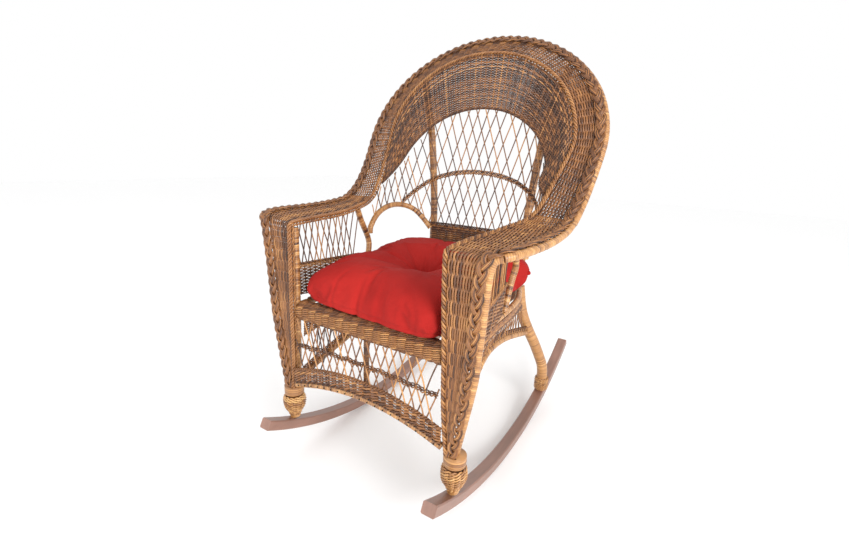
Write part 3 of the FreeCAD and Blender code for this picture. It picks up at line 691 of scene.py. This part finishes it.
pole_piece("rear_rail_wrap", ["seat_rear_rail"], rear_rail, POLE, 0.5)


# ---- feet

def turned_surface(radii_heights, centre, steps):
    """A surface of revolution as lines round it: a function from a height fraction to a loop."""
    profile = spline(radii_heights, 12)
    run = arc_length(profile)
    turn = np.linspace(0, TAU, steps + 1)

    def at(fraction):
        f = np.broadcast_to(np.asarray(fraction, float).reshape(-1), (steps + 1,)) * run[-1]
        r = np.interp(f, run, profile[:, 0])
        z = np.interp(f, run, profile[:, 1])
        return np.stack([centre[0] + r * np.sin(turn), centre[1] - r * np.cos(turn), centre[2] + z], -1)
    return at


def upright(x, y, heights):
    return [(x, y, z) for z in heights]


FLOOR = rocker_top(FRONT_FOOT)
BULB = [(13, 12, 0), (15.5, 22, 0), (22.5, 33, 0), (25.6, 48, 0), (24.6, 60, 0), (22, 66, 0)]
COLLAR_BASE = 57
COLLAR = [(18.6, 0, 0), (19.8, 8, 0), (20, 24, 0), (19.4, 38, 0)]
for name, side in SIDES:
    foot = Reeds(0.62, 0.18)
    bulb = turned_surface(BULB, (FOOT, FRONT_FOOT, FLOOR), 96)
    weave(foot, bulb, 10, 13, 1.5, 1.9, 1.0, stake=0, slant=0.42)
    core = upright(FOOT, FRONT_FOOT, [FLOOR + z for z in (10, 20, 30, 45, 62)])
    wrapped(foot, core, [10, 12.5, 18, 22, 20.5], 5, 0.2, 0.05)
    tip = upright(FOOT, FRONT_FOOT, [FLOOR + z for z in (5.2, 13, 20)])
    wrapped(foot, tip, 13, 4.5, 0.66)
    foot.build("foot_weave_" + name, wrap_cane, ["front_foot_" + name], "reed_weave", side)
bands = Reeds()
collars = Reeds(0.62, 0.16)
for _, side in SIDES:
    band = upright(side * FOOT, FRONT_FOOT, (BAND_TOP - 20, BAND_TOP - 10, BAND_TOP + 1))
    wrapped(bands, band, 23.6, 5.2, 0.60, 0.12, sides=28)
    around = turned_surface(COLLAR, (side * FOOT, REAR_FOOT, COLLAR_BASE), 72)
    weave(collars, around, 6, 10, 1.0, 1.7, 0.9, stake=0, slant=0.42)
    wrapped(collars, upright(side * FOOT, REAR_FOOT, (COLLAR_BASE, 75, 95)), 18, BINDER, 0.3)
bands.build("foot_bands", wrap_cane, ["front_foot_bands"], "wrapped_pole")
collars.build("rear_collar_weave", wrap_cane, ["rear_foot_collars"], "reed_weave")


# ---- lattices and back panels

LATTICE_REED = 1.6
LATTICE_STEP, TALLEST_REED = 6.0, 700


def crossing(reeds, starts, slope, reach, lower, upper, at, normal_at):
    """Two layers of reeds that lean opposite ways, each running up until it meets the upper edge."""
    for layer, direction in ((-1, 1), (1, -1)):
        for start in starts:
            low = lower(start)
            height = np.arange(low, low + TALLEST_REED, LATTICE_STEP)
            run = start + direction * slope * (height - low)
            inside = (height < [upper(d) for d in run]) & (np.abs(run) < reach)
            count = len(height) if inside.all() else int(np.argmin(inside)) + 1
            if count < 5:
                continue
            f = np.linspace(0, 1, count)
            bow = rng.normal(0, 0.9, 2)
            run = run[:count] + bow[0] * np.sin(np.pi * f) + bow[1] * np.sin(TAU * f)
            offset = layer * LATTICE_REED * 0.9 * np.ones_like(f)
            line = at(run, height[:count], offset)
            reeds.add(line, normal_at(run), LATTICE_REED, LATTICE_REED * 0.8)


def lattice_foot(d):
    """The lattice stands on the lower panel in the middle, and on the corner arches beyond it."""
    if abs(d) < CORNER_ARCH[0, 0]:
        return PANEL_TOP - 8
    return np.interp(abs(d), CORNER_ARCH[:, 0], CORNER_ARCH[:, 1]) + 5


def lattice_head(d):
    return np.interp(abs(d), HOOD_EDGE[:, 0], HOOD_EDGE[:, 1]) + 2


LATTICE_SLOPE = 0.345
back = Reeds(0.52, 0.24)
crossing(back, np.arange(-350, 351, 28.0), LATTICE_SLOPE, 362, lattice_foot, lattice_head, wall, wall_normal)
back.build("back_lattice_reeds", lattice_cane, ["back_lattice"], "reed_lattice")

run = np.linspace(-140, 140, 120)
panel = Reeds(0.40, 0.20)
panel_sheet = ruled(wall(run, SEAT + 3.0), wall(run, PANEL_TOP - 6.0))
weave(panel, panel_sheet, 44, 14, 1.4, 1.75, 1.0, stake=1.6)
run = np.linspace(-150, 150, 160)
for lift in (-4, 1):
    twist(panel, wall(run, PANEL_TOP + lift), 2.0, 16, 1.8, 2, tone=0.35)
panel.build("lower_back_weave", weave_cane, ["lower_back_panel"], "reed_weave")

run = np.linspace(-236, 236, 240)
middle = Reeds(0.48, 0.18)
band_height = np.interp(np.abs(run), MIDDLE_BAND[:, 0], MIDDLE_BAND[:, 1])
for lift in (-3.2, 3.2):
    line = wall(run, band_height + lift, np.full(len(run), 2.5))
    twist(middle, line, 2.6, 17, 2.0, 2, wall_normal(run))
middle.build("middle_twine", weave_cane, ["middle_band"], "reed_weave")


# ---- seat front and apron

ROLL_RADIUS, ROLL_HALF = 24, 193
ROLL_CENTRE = np.array((0, FRONT + 24, SEAT - 22.0))
roll_x = np.linspace(-ROLL_HALF, ROLL_HALF, 190)


def roll_surface(start, sweep, radius):
    """Lines along the front roll: a function from a fraction of the turn, in degrees, to a line."""
    start, sweep = math.radians(start), math.radians(sweep)

    def at(fraction):
        angle = start + sweep * np.broadcast_to(np.asarray(fraction, float).reshape(-1), roll_x.shape)
        return np.stack([roll_x, ROLL_CENTRE[1] - radius * np.cos(angle),
                         ROLL_CENTRE[2] + radius * np.sin(angle)], -1)
    return at


roll = Reeds(0.52, 0.16)
# Front, top and underside of the roll: where each starts, its sweep, how far it lies inside the roll,
# its rows, swing, reed and tone.
for start, sweep, inset, rows, swing, wide, thick, slant, tone in (
        (-50, 86, 3.4, 8, 2.9, 1.6, 1.1, 0.5, 0.66),
        (36, 84, 3.2, 8, 2.0, 1.8, 1.0, 0.4, 0.46),
        (-112, 62, 3.2, 6, 2.4, 1.9, 1.1, 0.5, 0.30)):
    sheet = roll_surface(start, sweep, ROLL_RADIUS - inset)
    weave(roll, sheet, rows, 20, swing, wide, thick, stake=0, slant=slant, tone=tone)
roll_core = [(x, *ROLL_CENTRE[1:]) for x in (-192.5, 0, 192.5)]
wrapped(roll, roll_core, ROLL_RADIUS - 4.8, 4.4, 0.06, 0.04, sides=24)
roll.build("seat_roll_weave", weave_cane, ["seat_front_roll", "seat_front_rail"], "reed_weave")


APRON_HALF, APRON_RISE = 203, 36.0


def apron(x, height, rise=APRON_RISE):
    return height + rise * (1 - (x / APRON_HALF) ** 2)


def apron_path(height, depth, rise=APRON_RISE, half=APRON_HALF, count=160):
    """A line across the apron, arched up in the middle: its height at the ends, set back by depth."""
    x = np.linspace(-half, half, count)
    return np.stack([x, np.full(count, FRONT + depth, float), apron(x, height, rise)], -1)


def apron_point(x, height, offset):
    return np.stack([x, FRONT + 3 - offset, height + 0 * x], -1)


def facing(direction):
    """The same normal for every point of a flat lattice."""
    return lambda places: np.broadcast_to(direction, (len(places), 3))


pole_piece("apron_rail_wrap", ["apron_rail"], apron_path(203, 9), POLE, 0.60, 0.2, wrap=5.2)
brace = upright(0, FRONT + 23.8, (234, 300, 368))
pole_piece("apron_brace_wrap", ["apron_brace"], brace, 6.5, 0.35)
band = Reeds(0.52, 0.18)
band_sheet = ruled(apron_path(213, 3, count=200), apron_path(245, 2, count=200))
weave(band, band_sheet, 5, 20, 2.2, 2.3, 1.2, stake=1.6, slant=0.42, stake_tone=0.4)
twist(band, apron_path(246, 1.5, count=200), 2.2, 15, 1.9, 2, tone=0.5)
twist(band, apron_path(212, 2, count=200), 2.2, 15, 1.9, 2, tone=0.3)
band.build("apron_band_weave", weave_cane, ["apron_band"], "reed_weave")

ROLL_BOTTOM = SEAT - 22 - ROLL_RADIUS
mesh_reeds = Reeds(0.52, 0.22)
crossing(mesh_reeds, np.linspace(-188, 188, 18), LATTICE_SLOPE, 192, lambda x: apron(x, 238),
         lambda x: ROLL_BOTTOM + 8, apron_point, facing((0.0, -1.0, 0.0)))
mesh_reeds.build("apron_lattice_reeds", lattice_cane, ["apron_lattice"], "reed_lattice")
twine = Reeds(0.4, 0.18)
for lift in (-2.4, 2.4):
    line = apron_path(312 + lift, 2.5, 9.0, 191)
    line[:, 2] += 1.6 * np.sin(line[:, 0] / 7.0)
    twist(twine, line, 2.6, 22, 1.7, 2)
twine.build("apron_twine_reeds", lattice_cane, ["apron_twine"], "reed_lattice")


# ---- sides

def side_point(y, z, offset):
    """A point on the side wall under the arm, on the right."""
    share = (y + 362) / 240
    top = 262 + (216 - 262) * share
    bottom = 252 + (209 - 252) * share
    return np.stack([bottom + (top - bottom) * (z - SEAT) / (ARM - 20 - SEAT) + offset, y, z + 0 * y], -1)


SKIRT_TOP = [(204, -345, 391), (207, -270, 391), (208, -200, 391), (207, -135, 391), (202, -40, 391),
             (184, 50, 391), (163, 118, 391)]
PANEL_HEAD = 478
skirt_low = spline(LOWER_RAIL, 16)
skirt_high = spline(SKIRT_TOP, 16)
# The skirt is woven above this share of its height, and open sticks stand below it.
OPEN_SHARE = 0.58
weave_low, weave_high = matched(skirt_low * (1 - OPEN_SHARE) + skirt_high * OPEN_SHARE,
                                skirt_high - (0, 0, 1), 3)
rail_top, _ = matched(skirt_low + (0, 0, POLE), skirt_high, 3)
stick_feet, _ = matched(skirt_low, skirt_high, 3)

for name, side in SIDES:
    y = np.linspace(-368, -133, 130)
    cloth = Reeds(0.52, 0.18)
    sheet = ruled(side_point(y, SEAT - 8 + 0 * y, 0), side_point(y, PANEL_HEAD + 0 * y, 0))
    weave(cloth, sheet, 18, 15, 1.5, 1.75, 1.0, stake=1.6)
    for lift in (2, 7):
        twist(cloth, side_point(y, PANEL_HEAD + lift + 0 * y, 0.5), 2.3, 16, 1.9, 2, tone=0.6)
    cloth.build("side_weave_" + name, weave_cane, ["side_panel_" + name], "reed_weave", side)
    bars = Reeds(0.52, 0.22)
    crossing(bars, np.linspace(-344, -158, 12), 0.2, 350, lambda v: PANEL_HEAD + 4, lambda v: ARM - 8,
             side_point, facing((1.0, 0.0, 0.0)))
    bars.build("arm_lattice_reeds_" + name, lattice_cane, ["arm_lattice_" + name], "reed_lattice", side)
    skirt = Reeds(0.46, 0.18)
    weave(skirt, ruled(weave_low, weave_high), 12, 16, 1.6, 1.9, 1.0, stake=1.5, slant=0.42, tone=0.5)
    for lift in (3, 9):
        twist(skirt, rail_top + (0, 0, lift), 2.6, 17, 2.0, 2, tone=0.6)
    last = len(weave_low) - 1
    for a in np.arange(12, len(rail_top) - 6, 7):
        for lean in (-4, 4):
            b = int(np.clip((a + lean) * last / (len(stick_feet) - 1), 0, last))
            stick = np.linspace(stick_feet[a] + (0, 0, 7), weave_low[b], 6)
            skirt.add(stick, (1.0, 0, 0), 1.5, 1.3)
    skirt.build("side_skirt_weave_" + name, weave_cane, ["side_skirt_" + name], "reed_weave", side)


# ---- cushion

TUFT = (0.0, -140.0, 447.0)
CUSHION_FLOOR, CUSHION_TOP = 419.0, 520
SEAM_FRONT, SEAM_RUN, SEAM_LOW, SEAM_RISE = -384, 430, 436, 28
FRONT_SKEW = 0.085
PLAN = np.array([(0, -396), (60, -398), (120, -398), (168, -394), (189, -374), (194, -335), (198, -260),
                 (201, -180), (203, -80), (206, 0), (221, 44), (196, 84), (140, 102), (60, 106), (0, 107)],
                float)


def cushion_plan(angle):
    """Reach of the cushion at angles about its tuft: a rounded trapezium with two rear ears."""
    loop = np.concatenate([PLAN, PLAN[-2:0:-1] * (-1, 1)])
    loop[:, 1] -= FRONT_SKEW * loop[:, 0] * (loop[:, 1] < -150)
    centre = np.array(TUFT[:2])
    turn = np.unwrap(np.arctan2(loop[:, 0] - centre[0], -(loop[:, 1] - centre[1])))
    reach = np.linalg.norm(loop - centre, axis=1)
    turn = np.concatenate([turn - TAU, turn, turn + TAU])
    reach = np.concatenate([reach, reach, reach])
    order = np.argsort(turn)
    return np.interp(angle, turn[order], reach[order])


def seam_height(y):
    """Height of the cushion's seam: low along the front and rising towards the rear corners."""
    share = np.clip((np.asarray(y, float) - SEAM_FRONT) / SEAM_RUN, 0, 1)
    return SEAM_LOW + SEAM_RISE * share * share * (3 - 2 * share)


def start_height(sign, angle, share, dist, y):
    """Height of the unfilled pad at a share of its reach: domed above, flat underneath."""
    seam = seam_height(y)
    if sign < 0:
        return seam - (seam - CUSHION_FLOOR - 1) * (1 - share ** 10) ** 0.5
    dome = (1 - share ** (4.2 + 6 * math.sin(angle) ** 2)) ** 0.5
    height = 4 + 37 * dome * (1 - 0.10 * math.cos(9 * angle + 0.8) * share)
    height *= 1 - 0.94 * math.exp(-(dist / 42) ** 1.2)
    height -= 12 * math.exp(-(dist / 30) ** 2)
    height += dome * (460 - seam) * min(1, dist / 90)
    return seam + height * (1.0 - 0.10 * (y > 0) * y / 100)


def cushion_start():
    """The pad before it is filled: flat underneath, domed above, with a dimple at the tuft."""
    rings, spokes = 34, 120
    angles = np.linspace(-np.pi, np.pi, spokes, endpoint=False)
    reach = cushion_plan(angles) * 0.995
    mesh = bmesh.new()
    layers = []
    for sign in (1, -1):
        grid = []
        for i in range(rings + 1):
            f = i / rings
            row = []
            for a, r in zip(angles, reach):
                dist = r * f
                x, y = dist * math.sin(a), TUFT[1] - dist * math.cos(a)
                z = start_height(sign, a, f, dist, y)
                row.append(mesh.verts.new((x * MM, y * MM, z * MM)))
                if i == 0:
                    row = row * spokes
                    break
            grid.append(row)
        layers.append(grid)
    for grid, way in zip(layers, (1, -1)):
        for i in range(rings):
            for k in range(spokes):
                n = (k + 1) % spokes
                corner = [grid[i][k], grid[i + 1][k], grid[i + 1][n], grid[i][n]]
                mesh.faces.new(list(dict.fromkeys(corner))[::way])
    top, bottom = layers[0][rings], layers[1][rings]
    for k in range(spokes):
        n = (k + 1) % spokes
        mesh.faces.new([top[k], bottom[k], bottom[n], top[n]])
    bmesh.ops.recalc_face_normals(mesh, faces=mesh.faces)
    data = bpy.data.meshes.new("seat_cushion")
    mesh.to_mesh(data)
    mesh.free()
    return data


def apply_modifiers(obj):
    """Replaces an object's mesh with the result of its modifiers."""
    depsgraph = bpy.context.evaluated_depsgraph_get()
    result = bpy.data.meshes.new_from_object(obj.evaluated_get(depsgraph))
    obj.modifiers.clear()
    obj.data = result


def cushion_folds(points):
    """How far each point moves along its normal: folds that run out from the tuft, pinched at the edge."""
    dx, dy = points[:, 0] - TUFT[0], points[:, 1] - TUFT[1]
    angle = np.arctan2(dx, -dy)
    dist = np.hypot(dx, dy)
    reach = cushion_plan(angle)
    share = dist / reach
    height = points[:, 2] - seam_height(points[:, 1])
    fold = np.zeros(len(points))
    folds = np.random.default_rng(5)
    for k in range(9):
        centre = TAU * (k + folds.uniform(-0.3, 0.3)) / 9
        curl = folds.uniform(-0.25, 0.25)
        length = folds.uniform(45, 110)
        off = (angle - centre - curl * share + np.pi) % TAU - np.pi
        crease = np.exp(-(off * np.maximum(dist, 12) / 5.5) ** 2)
        fold -= 8.0 * crease * np.clip((dist - 6) / 14, 0, 1) * np.exp(-(dist / length) ** 2)
    for _ in range(22):
        centre = folds.uniform(-np.pi, np.pi)
        curl = folds.uniform(-0.5, 0.5)
        width = folds.uniform(0.03, 0.06)
        inner, outer = folds.uniform(0.45, 0.6), folds.uniform(0.75, 0.95)
        off = (angle - centre - curl * (share - 0.7) + np.pi) % TAU - np.pi
        band = np.clip((share - inner) * 6, 0, 1) * np.clip((outer - share) * 6, 0, 1)
        fold -= 3.0 * np.exp(-(off / width) ** 2) * band
    for _ in range(54):
        centre = folds.uniform(-np.pi, np.pi)
        curl = folds.uniform(-0.4, 0.4)
        width = folds.uniform(0.018, 0.04)
        inner = folds.uniform(0.70, 0.9)
        off = (angle - centre - curl * (share - 1) + np.pi) % TAU - np.pi
        fold -= folds.uniform(1.5, 3.6) * np.exp(-(off / width) ** 2) * np.clip((share - inner) * 5, 0, 1)
    near = np.exp(-((dist - 48) / 30) ** 2)
    ridge = np.cos(9 * angle + 1.2 * np.sin(3 * angle)) * 1.6 * near
    under = np.clip((height + 22) / 20, 0, 1)
    return (fold + ridge * (height > 0)) * under


def coordinates(mesh, attribute="co"):
    """Places or normals of a mesh's points, as an array."""
    values = np.empty(len(mesh.vertices) * 3, np.float32)
    mesh.vertices.foreach_get(attribute, values)
    return values.reshape(-1, 3)


def inflate(obj):
    """Fills the pad by cloth simulation, held at the tuft and where it rests on the seat."""
    start = coordinates(obj.data) / MM
    dist = np.hypot(start[:, 0] - TUFT[0], start[:, 1] - TUFT[1])
    held = obj.vertex_groups.new(name="held")
    pinned = np.where((dist < 14) | (start[:, 2] < CUSHION_FLOOR + 6))[0]
    held.add([int(i) for i in pinned], 1.0, "REPLACE")
    cloth = obj.modifiers.new("cloth", "CLOTH")
    settings = cloth.settings
    settings.use_pressure = True
    settings.uniform_pressure_force = 4
    settings.quality = 6
    settings.tension_stiffness = 12
    settings.compression_stiffness = 4
    settings.shear_stiffness = 4
    settings.bending_stiffness = 0.3
    settings.vertex_group_mass = "held"
    settings.effector_weights.gravity = 0
    cloth.point_cache.frame_start = 1
    cloth.point_cache.frame_end = 20
    for step in range(1, 21):
        bpy.context.scene.frame_set(step)
    apply_modifiers(obj)
    bpy.context.scene.frame_set(1)


def crease(mesh):
    """Adds the folds and the sunk seam, and keeps the pad inside its plan."""
    normals = coordinates(mesh, "normal")
    co = coordinates(mesh) / MM
    co = co + normals * cushion_folds(co)[:, None]
    dist = np.hypot(co[:, 0] - TUFT[0], co[:, 1] - TUFT[1])
    reach = cushion_plan(np.arctan2(co[:, 0] - TUFT[0], -(co[:, 1] - TUFT[1])))
    seam = np.exp(-((co[:, 2] - seam_height(co[:, 1])) / 2.6) ** 2) * (dist > 0.9 * reach)
    co -= normals * (1.8 * seam)[:, None]
    limit = np.minimum(1, (reach + 6) / np.maximum(dist, 1))
    co[:, 0] = TUFT[0] + (co[:, 0] - TUFT[0]) * limit
    co[:, 1] = TUFT[1] + (co[:, 1] - TUFT[1]) * limit
    co[:, 2] = np.clip(co[:, 2], CUSHION_FLOOR, CUSHION_TOP)
    mesh.vertices.foreach_set("co", (co * MM).astype(np.float32).ravel())
    mesh.polygons.foreach_set("use_smooth", np.ones(len(mesh.polygons), bool))
    mesh.update()


def make_cushion():
    obj = add_object(cushion_start(), red_cotton)
    remesh = obj.modifiers.new("remesh", "REMESH")
    remesh.mode = "VOXEL"
    remesh.voxel_size = 0.006
    apply_modifiers(obj)
    inflate(obj)
    smooth = obj.modifiers.new("smooth", "SUBSURF")
    smooth.levels = 1
    apply_modifiers(obj)
    crease(obj.data)
    obj.data.materials.clear()
    obj.data.materials.append(red_cotton)
    place(obj, ["cushion"])
    return obj


cushion = make_cushion()


def make_knots():
    """The covered button in the tuft and the gathered tips of the two rear corners."""
    mesh = bmesh.new()
    corners = [vert.co / MM for vert in cushion.data.vertices]
    ears = [max(corners, key=lambda v: side * v.x) for _, side in SIDES]
    spots = [(TUFT[0], TUFT[1], TUFT[2] + 1, 9.5, 0.5)] + [(*ear, 5.5, 1.0) for ear in ears]
    for x, y, z, radius, flat in spots:
        matrix = Matrix.Translation((x * MM, y * MM, z * MM)) @ Matrix.Diagonal((1, 1, flat, 1))
        bmesh.ops.create_uvsphere(mesh, u_segments=24, v_segments=14, radius=radius * MM, matrix=matrix)
    for vert in mesh.verts:
        angle = math.atan2(vert.co.y, vert.co.x)
        vert.co.z += 0.0004 * math.sin(vert.co.x * 1400) * math.cos(angle)
    data = bpy.data.meshes.new("cushion_knots")
    mesh.to_mesh(data)
    mesh.free()
    for polygon in data.polygons:
        polygon.use_smooth = True
    place(add_object(data, red_cotton), ["cushion_button"])


make_knots()


# ---- CAD nodes that stay, in better materials

def dress(names, material):
    for name in names:
        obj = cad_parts[name]
        obj.data.materials.clear()
        obj.data.materials.append(material)


dress(["rocker_left", "rocker_right"], rocker_paint)
dress(["rocker_screws", "rail_nails"], dark_steel)
dress(["seat_deck"], bare_board)


# ---- floor, light and camera

FLOOR_REACH = 9.0
corners = [(x * FLOOR_REACH, y * FLOOR_REACH, 0) for x, y in ((-1, -1), (1, -1), (1, 1), (-1, 1))]
floor_mesh = bpy.data.meshes.new("floor")
floor_mesh.from_pydata(corners, [], [(0, 1, 2, 3)])
pale = bpy.data.materials.new("pale_floor")
pale.use_nodes = True
pale_shader = pale.node_tree.nodes["Principled BSDF"]
pale_shader.inputs["Base Color"].default_value = (0.985, 0.985, 0.985, 1)
pale_shader.inputs["Roughness"].default_value = 0.9
add_object(floor_mesh, pale)

world = bpy.data.worlds.new("studio")
world.use_nodes = True
world.node_tree.nodes["Background"].inputs["Color"].default_value = (1, 1, 1, 1)
world.node_tree.nodes["Background"].inputs["Strength"].default_value = 1.0
bpy.context.scene.world = world
bpy.context.scene.view_settings.view_transform = "Standard"


def area_light(name, place_at, target, size, power):
    data = bpy.data.lights.new(name, "AREA")
    data.shape = "DISK"
    data.size = size
    data.energy = power
    obj = bpy.data.objects.new(name, data)
    obj.location = place_at
    obj.rotation_euler = (Vector(target) - Vector(place_at)).to_track_quat("-Z", "Y").to_euler()
    bpy.context.scene.collection.objects.link(obj)


area_light("key", (2.6, -1.5, 1.3), (0, 0, 0.4), 1.5, 75)
area_light("fill", (-1.2, -2.9, 1.2), (0, 0, 0.5), 2.0, 20)

CAMERA_PLACE = (0.542, -1.0165, 0.755)
CAMERA_AZIMUTH, CAMERA_PITCH, CAMERA_ROLL = (math.radians(v) for v in (30.498, 15.645, 2.793))
camera_data = bpy.data.cameras.new("camera")
camera_data.sensor_width = 36
camera_data.lens = 18.23
camera_data.shift_x = -0.0102
camera_data.clip_start = 0.01
camera = bpy.data.objects.new("camera", camera_data)
ahead = Vector((-math.sin(CAMERA_AZIMUTH) * math.cos(CAMERA_PITCH),
                math.cos(CAMERA_AZIMUTH) * math.cos(CAMERA_PITCH),
                -math.sin(CAMERA_PITCH)))
level = Vector((math.cos(CAMERA_AZIMUTH), math.sin(CAMERA_AZIMUTH), 0))
above = level.cross(ahead)
right = level * math.cos(CAMERA_ROLL) + above * math.sin(CAMERA_ROLL)
top = above * math.cos(CAMERA_ROLL) - level * math.sin(CAMERA_ROLL)
axes = Matrix((right, top, -ahead)).transposed()
camera.matrix_world = Matrix.Translation(CAMERA_PLACE) @ axes.to_4x4()
bpy.context.scene.collection.objects.link(camera)
bpy.context.scene.camera = camera
